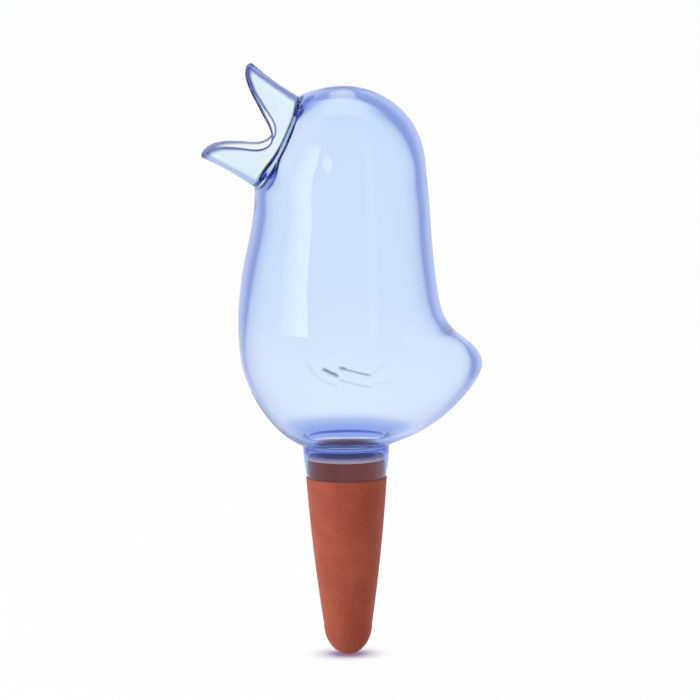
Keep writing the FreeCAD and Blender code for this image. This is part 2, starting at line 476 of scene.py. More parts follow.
def zone_share(points, radius, low, rise, top, fade):
    """1 near the axis between the two heights, fading to 0 outside."""
    from_axis = np.hypot(points[:, 0], points[:, 1])
    share = smooth((radius - from_axis) / fade)
    share *= smooth((points[:, 2] - low) / rise) * smooth((top - points[:, 2]) / fade)
    return share


def shade_of(share, colour):
    """Colours of points: white where the share is 0 and the colour where it is 1."""
    return 1 - share[:, None] * (1 - np.array(colour))


def add_shade(mesh, shades):
    """Colour of each point of a mesh, painted shade included, by which its finish is multiplied."""
    colours = np.hstack([shades, np.ones((len(shades), 1))])
    shade = mesh.attributes.new("shade", "FLOAT_COLOR", "POINT")
    shade.data.foreach_set("color", colours.ravel())


inner_points = points_of(reservoir_mesh.vertices[outer_count:])
# The skin's colour holds the painted shade of the grooves.
skin_shades = shade_of(painted_groove_shade, painted_groove_colour)
skin_shades *= shade_of(zone_share(skin_points, *crease_zone), crease_tint_and_shade)
inner_shades = shade_of(zone_share(inner_points, *throat_zone), throat_tint_and_shade)
add_shade(reservoir_mesh, np.vstack([skin_shades, inner_shades]))
print("darkest shade inside", inner_shades.min().round(2), "on the skin", skin_shades.min().round(2))

# %% [markdown]
# ## The beak
#
# The open bill is a second moulding, bonded to the face. Its outside and its bore are two ovals
# that change along the bill, and the gape is one curve seen from the side. Each column of the grid
# starts on the skin of the face, runs out to the gape, turns over a rounded rim and runs back
# along the bore. Cutting a finished bill open with a boolean would leave a raw edge, and here the
# rim has to be round, because that bead is what catches the light. The rim and the ridge of the
# upper bill look darker than the walls, where the light crosses the plastic edge-on, so their
# points carry a painted shade.

# %% Sizes and curves of the beak
beak_height_share = 0.848
beak_front_share = 0.614
beak_tilt = math.radians(32.5)
beak_half_height = 0.0167
beak_half_width = 0.012
beak_x = -belly_depth * beak_front_share
beak_z = neck_height + body_height * beak_height_share
upper_bill_length = 0.0224
bill_wall = 0.0015
bill_samples = 600

# Each row of the skin and of the bore: distance out, then half height and half width, as shares.
bill_skin_shares = [
    (-0.36, 1.00, 1.02),
    (0.00, 1.00, 1.00),
    (0.45, 1.00, 0.90),
    (0.76, 1.035, 0.80),
    (1.03, 1.09, 0.66),
]
bill_bore_shares = [
    (-0.36, 1.00, 1.085),
    (0.00, 1.00, 1.07),
    (0.45, 1.00, 0.90),
    (0.76, 1.025, 0.79),
    (1.02, 1.060, 0.63),
]
# The open edge from the tip of the upper bill to that of the lower one: distance out and height.
gape_shares = [
    (0.900, 1.150),
    (0.965, 1.075),
    (0.985, 0.980),
    (0.960, 0.862),
    (0.885, 0.755),
    (0.735, 0.605),
    (0.590, 0.497),
    (0.420, 0.365),
    (0.215, 0.207),
    (0.105, -0.018),
    (0.170, -0.210),
    (0.385, -0.385),
    (0.645, -0.578),
    (0.770, -0.713),
    (0.835, -0.845),
    (0.862, -0.960),
    (0.860, -1.040),
    (0.820, -1.110),
]


class Bill:
    """Skin or bore of the bill: an oval that changes with the distance out from the face."""

    def __init__(self, shares, inset):
        rows = np.array(shares) * (upper_bill_length, beak_half_height, beak_half_width)
        rows[:, 1:] -= inset
        self.end = rows[-1, 0]
        curve = SmoothCurve(rows)
        self.table = curve(np.linspace(0, curve.knots[-1], bill_samples))

    def halves(self, along):
        """Half height and half width."""
        return [np.interp(along, self.table[:, 0], self.table[:, size]) for size in (1, 2)]


bill_skin = Bill(bill_skin_shares, 0)
bill_bore = Bill(bill_bore_shares, bill_wall)
gape_curve = SmoothCurve(np.array(gape_shares) * (upper_bill_length, beak_half_height))
gape_table = gape_curve(np.linspace(0, gape_curve.knots[-1], 2 * bill_samples))[::-1]


def gape_along(up):
    """How far out the open edge of the bill lies at a height."""
    return np.interp(up, gape_table[:, 1], gape_table[:, 0])


def beak_points(along, up, across):
    """Places of points given from the middle of the joint: out along the bill, up and across."""
    x = beak_x - along * math.cos(beak_tilt) + up * math.sin(beak_tilt)
    z = beak_z + along * math.sin(beak_tilt) + up * math.cos(beak_tilt)
    return np.column_stack([x, np.broadcast_to(across, np.shape(x)), z])


print("bill ends at", round(bill_skin.end, 4), "bore at", round(bill_bore.end, 4))

# %% Where the bill meets the face and the gape
bill_columns = 192
joint_overlap = 0.00003
search_reach = 0.6 * upper_bill_length
halvings = 40
rim_rounds = 60

bill_turns = 2 * math.pi * np.arange(bill_columns) / bill_columns
up_shares = np.cos(bill_turns)
across_shares = np.sin(bill_turns)
skin_table = skin_curve(np.linspace(0, skin_crown, curve_samples))
hollow_table = hollow_curve(np.linspace(0, hollow_crown, curve_samples))


def outside_face(points, table, gap):
    """Which points lie outside the front of the bird's skin, or of its hollow, by the gap."""
    front, side = (
        np.interp(points[:, 2], table[:, height_column], table[:, column]) + gap
        for column in (front_column, side_column)
    )
    return (points[:, 0] / front) ** 2 + (points[:, 1] / side) ** 2 > 1


def face_along(points_at, table=skin_table, gap=0.0):
    """Distance out along the bill at which each column of points leaves the face."""
    low = np.full(bill_columns, -search_reach)
    high = np.full(bill_columns, search_reach)
    for _ in range(halvings):
        middle = (low + high) / 2
        clear = outside_face(beak_points(*points_at(middle).T), table, gap)
        high = np.where(clear, middle, high)
        low = np.where(clear, low, middle)
    return high


def rim_along(bill):
    """Distance out at which each column of the bill reaches the gape."""
    along = np.full(bill_columns, 0.5 * upper_bill_length)
    for _ in range(rim_rounds):
        target = np.minimum(gape_along(bill.halves(along)[0] * up_shares), bill.end)
        along = (along + target) / 2
    return along


def bill_points(bill, along, spread=0.0):
    """Points round the bill as (along, up, across), moved outwards from it by the spread."""
    high, wide = bill.halves(along)
    outward = np.column_stack([up_shares / high, across_shares / wide])
    outward *= (spread / np.linalg.norm(outward, axis=1))[:, None]
    up = high * up_shares + outward[:, 0]
    return np.column_stack([along, up, wide * across_shares + outward[:, 1]])


skin_base = face_along(lambda along: bill_points(bill_skin, along), gap=-joint_overlap)
bore_base = face_along(lambda along: bill_points(bill_bore, along), gap=-joint_overlap)
skin_rim = rim_along(bill_skin)
bore_rim = rim_along(bill_bore)
print("base of the bill from", skin_base.min().round(4), "to", skin_base.max().round(4))
print("rim of the bill from", skin_rim.min().round(4), "to", skin_rim.max().round(4))

# %% Rings of the bill
rim_depth = 0.0009
rim_steps = 9
least_facing = 0.45
bill_rows = 34
base_rows = 5

shares_out = np.linspace(0, 1, bill_rows)
skin_span, bore_span = skin_rim - skin_base, bore_rim - bore_base
outer_rings = [bill_points(bill_skin, skin_base + skin_span * share) for share in shares_out]
inner_rings = [bill_points(bill_bore, bore_base + bore_span * share) for share in shares_out[::-1]]

rim_middle = (outer_rings[-1] + inner_rings[0]) / 2
rim_half = (outer_rings[-1] - inner_rings[0]) / 2
thickness = np.linalg.norm(rim_half[:, 1:], axis=1)
travel = np.roll(rim_middle, -1, axis=0) - np.roll(rim_middle, 1, axis=0)
facing = np.linalg.norm(travel[:, 1:], axis=1) / np.linalg.norm(travel, axis=1)
bulge = np.minimum(thickness, rim_depth) / np.clip(facing, least_facing, 1)
rim_rings = []
for angle in np.linspace(0, math.pi, rim_steps + 2)[1:-1]:
    ring = rim_middle + rim_half * math.cos(angle)
    ring[:, 0] += bulge * math.sin(angle)
    rim_rings.append(ring)
# The bulge is taken off the length of the walls, so that the rim ends at the gape.
for ring, share in list(zip(outer_rings, shares_out)) + list(zip(inner_rings, shares_out[::-1])):
    ring[:, 0] -= bulge * share
for ring in rim_rings:
    ring[:, 0] -= bulge

base_rings = []
for share in np.linspace(0, 1, base_rows + 2)[1:-1]:
    flat = inner_rings[-1][:, 1:] * (1 - share) + outer_rings[0][:, 1:] * share
    along = face_along(lambda along: np.column_stack([along, flat]), gap=-joint_overlap)
    base_rings.append(np.column_stack([along, flat]))

beak_rings = [beak_points(*ring.T) for ring in outer_rings + rim_rings + inner_rings + base_rings]
beak_mesh = ring_mesh("clear_beak", beak_rings[::-1], closed=True)
print("rings of the bill", len(beak_rings))

# %% Painted shade along the rim and the ridge
rim_fade = 0.88
ridge_width = 0.42
ridge_share = 0.8
# Painted shade for the rim and the ridge, where the light crosses the plastic edge-on.
rim_painted_shade = (0.21, 0.23, 0.45)

ridge = ridge_share * smooth(1 - np.abs(across_shares) / ridge_width) * (up_shares > 0)
near_rim = smooth((shares_out - rim_fade) / (1 - rim_fade))
wall_shares = [np.maximum(share, ridge) for share in near_rim]
edge_shares = wall_shares + [np.ones(bill_columns)] * len(rim_rings)
edge_shares += wall_shares[::-1] + [ridge] * len(base_rings)
add_shade(beak_mesh, shade_of(np.concatenate(edge_shares[::-1]), rim_painted_shade))
print("beak", round(enclosed_volume(beak_mesh) * 1e6, 2), "ml of plastic")

# %% [markdown]
# ## Finished pieces
#
# Every modelled piece stands in for one solid and rides on the same body, so the bird still turns
# and lifts off the clay. Smooth shading hides the facets of the grid, and the corners that are
# sharp on the real piece, such as the neck's lip, are marked by their angle.

# %% Hand a mesh over to the frame
sharp_angle = math.radians(38)


def finished(piece, node, body):
    """The piece replaces a solid and rides on its body."""
    piece.data.shade_smooth()
    piece.data.set_sharp_from_angle(angle=sharp_angle)
    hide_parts(node)
    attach(piece, body)
    piece.data.calc_loop_triangles()
    print(piece.name, "replaces", node, "with", len(piece.data.loop_triangles), "triangles")


# %% [markdown]
# ## The joint with the beak
#
# Two clear pieces meet here, and light that gets caught between their walls comes out dark. On the
# real bird the wall is thin at the joint, so it shows as a fine line. The hollow is therefore moved
# outwards beside the bill, most at its two sides, and gently, because a steep wedge of plastic
# would bend the light and show as a dark hook from the front.

# %% Thinner wall at the two sides of the joint
# Each end and side: where the thinning stops, then the width of its fade.
joint_wall = 0.0012
thin_reach = 2.15
thin_height = 0.86
thin_side = (0.001, 0.0085)
thin_top = (0.0215, 0.014)
thin_bottom = (0.0130, 0.010)
thin_fade = 0.009

inner = reservoir_mesh.vertices[outer_count:]
inner_points = points_of(inner)
across = inner_points[:, 1]
from_joint = inner_points - (beak_x, 0, beak_z)
up_on_face = from_joint[:, 0] * math.sin(beak_tilt) + from_joint[:, 2] * math.cos(beak_tilt)
from_bill = np.hypot(up_on_face / (thin_height * beak_half_height), across / beak_half_width)
thinned = smooth((thin_reach - from_bill) / (thin_reach - 1))
thinned *= smooth(-inner_points[:, 0] / thin_fade)
thinned *= smooth((np.abs(across) - thin_side[0]) / (thin_side[1] - thin_side[0]))
thinned *= smooth((thin_top[0] - up_on_face) / thin_top[1])
thinned *= smooth((thin_bottom[0] + up_on_face) / thin_bottom[1])
taken_off = (thinned * (crown_wall - joint_wall))[:, None]
move_points(reservoir_mesh, outer_count, inner_points - normals_of(inner) * taken_off)
print("most taken off the wall", round(taken_off.max() * 1000, 2), "mm")

# %% [markdown]
# ## The throat
#
# The bill's bore runs on through the wall of the face into the hollow of the bird. Where it comes
# out inside, the edge is round, because blown plastic is never sharp there, and less so at the two
# sides, where the wall is thin. A boolean with a trumpet-shaped tool cuts the bore and the round
# edge in one.

# %% Tool in the shape of the bore and its round edge
throat_round_top = 0.0009
throat_round_side = 0.0003
throat_end_inset = 0.00002
throat_end_taper = 0.97
throat_depth = 0.003
throat_rows = 10
tool_rows = 12
tool_turn = 0.3 * upper_bill_length
tool_row_shares = (0.35, 0.7)

inner_along = face_along(lambda along: bill_points(bill_bore, along), hollow_table)
throat_round = throat_round_top + (throat_round_side - throat_round_top) * across_shares**2
edge_start = bill_points(bill_bore, inner_along + throat_round)
edge_corner = bill_points(bill_bore, inner_along)
end_along = face_along(
    lambda along: bill_points(bill_bore, along, throat_round), hollow_table, throat_end_inset
)
edge_end = bill_points(bill_bore, end_along, throat_round)
tool_rings = [
    bill_points(bill_bore, np.full(bill_columns, along))
    for along in np.linspace(bill_bore.end, tool_turn, tool_rows)
]
tool_rings += [
    bill_points(bill_bore, tool_rings[-1][:, 0] * (1 - share) + edge_start[:, 0] * share)
    for share in tool_row_shares
]
tool_rings += list(bent(edge_start, edge_corner, edge_end, throat_rows))
tool_rings.append(edge_end * (1, throat_end_taper, throat_end_taper) - (throat_depth, 0, 0))
tool_rings = [beak_points(*ring.T) for ring in tool_rings]
first_pole, last_pole = (tool_rings[end].mean(axis=0)[None] for end in (0, -1))
tool_mesh = ring_mesh("bore_tool", [first_pole] + tool_rings + [last_pole])
if enclosed_volume(tool_mesh) < 0:
    tool_mesh.flip_normals()
print("tool for the bore", round(enclosed_volume(tool_mesh) * 1e6, 2), "ml")

# %% Open the face of the bird into the beak
bird_piece = new_object("clear_bird", reservoir_mesh)
tool = new_object("bore_tool", tool_mesh)
cut = bird_piece.modifiers.new("throat", "BOOLEAN")
cut.operation = "DIFFERENCE"
cut.solver = "EXACT"
cut.object = tool
opened = built_mesh(bird_piece)
bird_piece.modifiers.clear()
bird_piece.data = opened
bpy.data.objects.remove(tool)
print("opened bird", round(enclosed_volume(opened) * 1e6, 2), "ml of plastic")

# %% [markdown]
# ## Turned pieces
#
# The clay spike and the soft seal are bodies of revolution. One Geometry Nodes tree turns a
# profile on the spike's axis: it sweeps the profile round a very small circle, closes the pole
# and gives the surface its finish. The clay's skin is not as true as a turned metal part, so the
# tree also moves it in and out by a few hundredths of a millimetre, below the shoulder only.

# %% Tree that turns a profile
core_radius = 0.00001
turned_sides = 160
uneven_scale = 260.0
uneven_middle = 0.85


def add_node(tree, kind, settings=None, sockets=None):
    """Node with its settings set first, then the values or links of its sockets."""
    made = tree.nodes.new(kind)
    for name, value in (settings or {}).items():
        setattr(made, name, value)
    for name, value in (sockets or {}).items():
        socket = next(one for one in made.inputs if one.identifier == name or one.name == name)
        if isinstance(value, bpy.types.NodeSocket):
            tree.links.new(value, socket)
        else:
            socket.default_value = value
    return made


def turned_tree():
    tree = bpy.data.node_groups.new("turned piece", "GeometryNodeTree")
    for name, kind in (
        ("Profile", "NodeSocketGeometry"),
        ("Sides", "NodeSocketInt"),
        ("Core Radius", "NodeSocketFloat"),
        ("Unevenness", "NodeSocketFloat"),
        ("Uneven Below", "NodeSocketFloat"),
        ("Finish", "NodeSocketMaterial"),
    ):
        tree.interface.new_socket(name, in_out="INPUT", socket_type=kind)
    tree.interface.new_socket("Piece", in_out="OUTPUT", socket_type="NodeSocketGeometry")
    given = tree.nodes.new("NodeGroupInput").outputs
    core = given["Core Radius"]
    times = {"operation": "MULTIPLY"}

    def add(kind, settings=None, sockets=None, output=0):
        return add_node(tree, kind, settings, sockets).outputs[output]

    inward = add("ShaderNodeMath", times, {"Value": core, "Value_001": -1.0})
    offset = add("ShaderNodeCombineXYZ", None, {"X": inward})
    profile = add("GeometryNodeSetPosition", None, {"Geometry": given["Profile"], "Offset": offset})
    round_path = {"Resolution": given["Sides"], "Radius": core}
    circle = add("GeometryNodeCurvePrimitiveCircle", None, round_path)
    swept = add("GeometryNodeCurveToMesh", None, {"Curve": circle, "Profile Curve": profile})
    closed = add("GeometryNodeMergeByDistance", None, {"Geometry": swept, "Distance": core})
    height = add("ShaderNodeSeparateXYZ", None, {"Vector": add("GeometryNodeInputPosition")}, "Z")
    less = {"data_type": "FLOAT", "operation": "LESS_THAN"}
    below = add("FunctionNodeCompare", less, {"A": height, "B": given["Uneven Below"]})
    grain = {"Scale": uneven_scale, "Detail": 3.0, "Roughness": 0.55}
    noise = add("ShaderNodeTexNoise", {"noise_dimensions": "3D"}, grain)
    minus = {"operation": "SUBTRACT"}
    centred = add("ShaderNodeMath", minus, {"Value": noise, "Value_001": uneven_middle})
    swell = add("ShaderNodeMath", times, {"Value": centred, "Value_001": given["Unevenness"]})
    outward = {"Vector": add("GeometryNodeInputNormal"), "Scale": swell}
    move = add("ShaderNodeVectorMath", {"operation": "SCALE"}, outward)
    moved = {"Geometry": closed, "Selection": below, "Offset": move}
    uneven = add("GeometryNodeSetPosition", None, moved)
    real = add("GeometryNodeRealizeInstances", None, {"Geometry": uneven})
    covered = {"Geometry": real, "Material": given["Finish"]}
    finished_piece = add("GeometryNodeSetMaterial", None, covered)
    result = tree.nodes.new("NodeGroupOutput")
    tree.links.new(finished_piece, result.inputs["Piece"])
    return tree


turning = turned_tree()


def turned_piece(name, profile, closed, finish, unevenness=0.0, uneven_below=0.0):
    """Mesh turned on the spike's axis from a profile of (radius, height) points."""
    line = bpy.data.curves.new(name, "CURVE")
    line.dimensions = "3D"
    spline = line.splines.new("POLY")
    spline.points.add(len(profile) - 1)
    spline.use_cyclic_u = closed
    for point, (radius, height) in zip(spline.points, profile):
        point.co = (radius, -height, 0, 1)
    piece = new_object(name + "_profile", line)
    lathe = piece.modifiers.new("lathe", "NODES")
    lathe.node_group = turning
    given = {
        "Sides": turned_sides,
        "Core Radius": core_radius,
        "Unevenness": unevenness,
        "Uneven Below": uneven_below,
        "Finish": finish,
    }
    for item in turning.interface.items_tree:
        if item.name in given:
            lathe[item.identifier] = given[item.name]
    mesh = built_mesh(piece)
    mesh.name = name
    bpy.data.objects.remove(piece)
    if enclosed_volume(mesh) < 0:
        mesh.flip_normals()
    print(name, "turned,", len(mesh.vertices), "points,", round(enclosed_volume(mesh) * 1e6, 3), "ml")
    return new_object(name, mesh)


# %% Profile of the clay spike
corner_steps = 6
spigot_steps = 6
end_face_steps = 3
cone_steps = 64
cone_bore_steps = 24


def bow(start, corner, end, count, pull=1.0):
    """Points of a smooth edge aimed at its corner, the first one left out."""
    t = np.linspace(0, 1, count + 1)[1:, None]
    weights = (1 - t) ** 2, 2 * t * (1 - t) * pull, t**2
    edge = sum(weight * np.array(place) for weight, place in zip(weights, (start, corner, end)))
    return [tuple(point) for point in edge / sum(weights)]


def straight(start, end, count):
    return [tuple(point) for point in np.linspace(start, end, count + 1)[1:]]


oval_pull = math.cos(math.pi / 4)


def cone_side(top_radius, top, end_radius, end, tip, count):
    """Side of the cone, which bows outwards, and its oval end down to the axis."""
    control = ((top_radius + end_radius) / 2 + 2 * cone_bulge, (top + end) / 2)
    side = bow((top_radius, top), control, (end_radius, end), count)
    return side + bow((end_radius, end), (end_radius, tip), (0, tip), count // 2, oval_pull)


def corner_of(radius, top, size):
    """Round outer top edge, from the top face to the side."""
    start, end = (radius - size, top), (radius, top - size)
    return bow(start, (radius, top), end, corner_steps, oval_pull)


def spike_profile():
    end = cone_end_height - cone_length
    floor = clay_floor - cone_length
    inner_end = cone_end_radius - clay_wall
    inner = cone_side(cone_bore_radius, 0, inner_end, end, floor, cone_bore_steps)
    bore_top = (cone_bore_radius, spigot_height)
    rim = (spigot_radius - spigot_round, spigot_height)
    side_top = (spigot_radius, spigot_height - spigot_round)
    profile = inner[::-1] + [(cone_bore_radius, 0)]
    profile += straight((cone_bore_radius, 0), bore_top, spigot_steps)
    profile += straight(bore_top, rim, end_face_steps)
    profile += corner_of(spigot_radius, spigot_height, spigot_round)
    profile += straight(side_top, (spigot_radius, 0), spigot_steps)
    profile += [(cone_top_radius - shoulder_round, 0)]
    profile += corner_of(cone_top_radius, 0, shoulder_round)
    outer = cone_top_radius, -shoulder_round, cone_end_radius, end, -cone_length
    return profile + cone_side(*outer, cone_steps)


print("spike profile", len(spike_profile()), "points")

# %% Profile of the seal
seal_edge = 0.00025
seal_edge_steps = 4


def seal_profile():
    """Flat ring on the spigot's end face, with a sleeve down its bore."""
    sleeve = cone_bore_radius - turning_clearance
    opening = sleeve - seal_sleeve_wall
    low, top = seal_low.z, seal_high.z
    corners = [
        (opening, low),
        (opening, top),
        (spigot_radius, top),
        (spigot_radius, spigot_height),
        (sleeve, spigot_height),
        (sleeve, low),
    ]
    points = []
    for before, corner, after in zip(corners[-1:] + corners, corners, corners[1:] + corners[:1]):
        corner = np.array(corner)
        ways = [np.array(other) - corner for other in (before, after)]
        start, end = (corner + seal_edge * way / np.linalg.norm(way) for way in ways)
        points += [tuple(start)] + bow(start, corner, end, seal_edge_steps)
    return points


print("seal profile", len(seal_profile()), "points")

# %% [markdown]
# ## Writing finishes as formulas
#
# A procedural finish is arithmetic on positions and noise. Wrapping a socket in a small class lets
# the arithmetic be written as such, and each sum or product adds the node that computes it.

# %% A socket that can be added and multiplied


class Value:
    """One socket of a shader tree, so that a formula can be written with it."""

    def __init__(self, socket):
        self.socket = socket
        self.tree = socket.id_data

    def math(self, operation, *numbers):
        made = add_node(self.tree, "ShaderNodeMath", {"operation": operation})
        for socket, number in zip(made.inputs, numbers):
            if isinstance(number, Value):
                self.tree.links.new(number.socket, socket)
            else:
                socket.default_value = number
        return Value(made.outputs[0])

    def __add__(self, other):
        return self.math("ADD", self, other)

    def __sub__(self, other):
        return self.math("SUBTRACT", self, other)

    def __rsub__(self, other):
        return self.math("SUBTRACT", other, self)

    def __mul__(self, other):
        return self.math("MULTIPLY", self, other)

    def __rpow__(self, other):
        return self.math("POWER", other, self)

    __radd__ = __add__
    __rmul__ = __mul__

    def step(self, low, high):
        """0 below low, 1 above high, and smooth between them."""
        made = add_node(
            self.tree,
            "ShaderNodeMapRange",
            {"interpolation_type": "SMOOTHSTEP"},
            {"Value": self.socket, "From Min": low, "From Max": high},
        )
        return Value(made.outputs[0])


class Finish:
    """Node tree of a material or of the world, built from formulas."""

    def __init__(self, owner):
        owner.use_nodes = True
        self.owner = owner
        self.tree = owner.node_tree
        self.tree.nodes.clear()

    def node(self, kind, output, settings=None, sockets=None):
        """Add a node and give one of its outputs."""
        linked = {
            name: value.socket if isinstance(value, Value) else value
            for name, value in (sockets or {}).items()
        }
        made = add_node(self.tree, kind, settings, linked)
        return Value(next(one for one in made.outputs if output in (one.identifier, one.name)))

    def place(self):
        return self.node("ShaderNodeTexCoord", "Object")

    def noise(self, scale, detail=2.0, roughness=0.5, at=None):
        at = at or self.place()
        sockets = {"Scale": scale, "Detail": detail, "Roughness": roughness, "Vector": at}
        return self.node("ShaderNodeTexNoise", "Fac", None, sockets)

    def mix(self, share, low, high, blend="MIX"):
        """Colour between two colours."""
        settings = {"data_type": "RGBA", "blend_type": blend}
        colours = {"Factor_Float": share, "A_Color": low, "B_Color": high}
        return self.node("ShaderNodeMix", "Result_Color", settings, colours)

    def bump(self, height, strength, distance):
        """Normal of a surface with a grain that is too fine to model."""
        sockets = {"Strength": strength, "Distance": distance, "Height": height}
        return self.node("ShaderNodeBump", "Normal", None, sockets)

    def surface(self, sockets):
        return self.node("ShaderNodeBsdfPrincipled", "BSDF", None, sockets)

    def part(self, vector, axis):
        return self.node("ShaderNodeSeparateXYZ", axis, None, {"Vector": vector})

    def finish(self, kind, **outputs):
        sockets = {name: value.socket for name, value in outputs.items()}
        add_node(self.tree, kind, None, sockets).is_active_output = True
        return self.owner


def new_finish(name):
    return Finish(bpy.data.materials.new(name))


# %% Clear tinted plastic


def clear_plastic(name, tint, absorbed, density):
    """Polished see-through plastic: a tint at each wall, times the painted shade that the mesh
    carries, and more of it where light goes far."""
    plastic = new_finish(name)
    # The shade attribute holds painted shade in the grooves, on the bill's rim and round the throat.
    shade = plastic.node("ShaderNodeAttribute", "Color", {"attribute_name": "shade"})
    colour = plastic.mix(1.0, (*tint, 1), shade, "MULTIPLY")
    ripple = plastic.noise(55.0, 2.0, 0.4)
    haze = plastic.noise(420.0, 3.0, 0.6).step(0.45, 0.8)
    shader = plastic.surface(
        {
            "Base Color": colour,
            "Roughness": 0.015 + 0.02 * haze,
            "IOR": 1.46,
            "Specular Tint": (0.42, 0.45, 0.55, 1),
            "Transmission Weight": 1.0,
            "Normal": plastic.bump(ripple, 0.05, 0.0006),
        }
    )
    inside = {"Color": (*absorbed, 1.0), "Density": density}
    depth = plastic.node("ShaderNodeVolumeAbsorption", "Volume", None, inside)
    return plastic.finish("ShaderNodeOutputMaterial", Surface=shader, Volume=depth)


tint_density = 36.0

bird_plastic = clear_plastic(
    "pale blue clear plastic", (0.885, 0.94, 1.0), (0.30, 0.54, 0.96), tint_density
)
beak_plastic = clear_plastic(
    "paler clear plastic", (0.91, 0.975, 1.0), (0.30, 0.50, 0.86), tint_density
)
print("made", bird_plastic.name, "and", beak_plastic.name)

# %% Soft seal


def seal_material():
    soft = new_finish("milky soft seal")
    cloud = soft.noise(600.0, 3.0, 0.6)
    colour = soft.mix(cloud, (0.98, 0.66, 0.60, 1), (1.0, 0.78, 0.72, 1))
    shader = soft.surface({"Base Color": colour, "Roughness": 0.42, "IOR": 1.42})
    return soft.finish("ShaderNodeOutputMaterial", Surface=shader)


seal_soft = seal_material()
print("made", seal_soft.name)

# %% Fired clay


def clay_material():
    clay = new_finish("porous fired clay")
    place = clay.place()
    cloud = clay.noise(70.0, 4.0, 0.55, place)
    grain = clay.noise(1900.0, 3.0, 0.6, place)
    colour = clay.mix(cloud.step(0.3, 0.72), (0.36, 0.052, 0.017, 1), (0.46, 0.083, 0.031, 1))
    colour = clay.mix(0.35 * grain.step(0.35, 0.75), colour, (0.58, 0.155, 0.085, 1))
    shader = clay.surface(
        {
            "Base Color": colour,
            "Roughness": 0.8 + 0.12 * grain,
            "IOR": 1.45,
            "Sheen Weight": 0.16,
            "Normal": clay.bump(grain, 0.35, 0.00012),
        }
    )
    return clay.finish("ShaderNodeOutputMaterial", Surface=shader)


fired_clay = clay_material()
print("made", fired_clay.name)

# %% Give each piece its finish and its place
unevenness = 0.00008
even_shoulder = 0.001

spike_piece = turned_piece(
    "clay_spike", spike_profile(), False, fired_clay, unevenness, -even_shoulder
)
seal_piece = turned_piece("soft_seal", seal_profile(), True, seal_soft)
beak_piece = new_object("clear_beak", beak_mesh)
bird_piece.data.materials.clear()
bird_piece.data.materials.append(bird_plastic)
beak_piece.data.materials.append(beak_plastic)

finished(spike_piece, "terracotta_spike", "spike")
finished(seal_piece, "neck_seal", "seal")
finished(bird_piece, "bird_reservoir", "bird")
finished(beak_piece, "filling_beak", "bird")

# %% [markdown]
# ## Floor, backdrop and light
#
# The clear plastic shows little of itself: what is seen is the bright backdrop, bent and dimmed.
# Light that is reflected inside the wall comes from the darker room around the bright backdrop,
# which is why the edges of clear things look dark. The floor and the world do the same: they are
# white for the camera and for light that passes straight through, and bluer and dimmer after each
# inner reflection. Darker cards stand between four white panels, so that the bent light has
# something to bend, and what the skin mirrors from the front is the dim room.

# %% Light that clear and shiny things see
kept_by_reflection = (0.62, 0.68, 0.89)
most_reflections = 3.0
card_colour = (0.55, 0.61, 0.82)
card_wide, card_narrow = math.radians(37), math.radians(9)
mirrored_colour = (0.82, 0.86, 1.0, 1)
close_colour = (0.86, 0.90, 0.98, 1)
room_colour = (0.26, 0.33, 0.62, 1)
room_side = (-0.6, 0.1)


def light_path(finish, output):
    return finish.node("ShaderNodeLightPath", output)


def studio_colour(finish, card, room, close=0.0):
    """White panels and darker cards as seen through the plastic, and the room as its skin mirrors
    it. What lies close to the object has a colour of its own."""
    depth = light_path(finish, "Glossy Depth")
    depth = depth.math("MINIMUM", depth, most_reflections)
    channels = {}
    for channel, keep, dim in zip(("Red", "Green", "Blue"), kept_by_reflection, card_colour):
        channels[channel] = keep**depth * (1.0 - card * (1.0 - dim))
    inside = finish.node("ShaderNodeCombineColor", "Color", None, channels)
    inside = finish.mix(close, inside, close_colour)
    mirrored = finish.mix(room, mirrored_colour, room_colour)
    return finish.mix(light_path(finish, "Is Reflection Ray"), inside, mirrored)


def card_share(finish, direction):
    """1 where the direction meets a dark card, 0 on the four white panels."""
    parts = [finish.part(direction, axis) for axis in ("X", "Y")]
    parts = [part.math("ABSOLUTE", part) for part in parts]
    facing = parts[0].math("MAXIMUM", *parts)
    return 1.0 - facing.step(math.cos(card_wide), math.cos(card_narrow))


def room_share(finish, direction):
    """1 where the direction meets the dim room in front of the object, 0 behind it."""
    return 1.0 - finish.part(direction, "Y").step(*room_side)


print("light kept by one inner reflection", kept_by_reflection)

# %% Floor
floor_size = 8.0
floor_white = 0.97
contact_reach = 0.010
contact_samples = 12
contact_shade = (0.3, 0.97)
# Colour of the painted contact shadow under the spike's tip.
painted_shadow_colour = (0.30, 0.17, 0.34, 1)
card_distance = (0.05, 0.55)
close_distance = (0.04, 0.22)

half = floor_size / 2
corners = [(x * half, y * half, cad_low.z) for x, y in ((-1, -1), (1, -1), (1, 1), (-1, 1))]
floor_mesh = bpy.data.meshes.new("floor")
floor_mesh.from_pydata(corners, [], [(0, 1, 2, 3)])
floor = new_object("floor", floor_mesh)


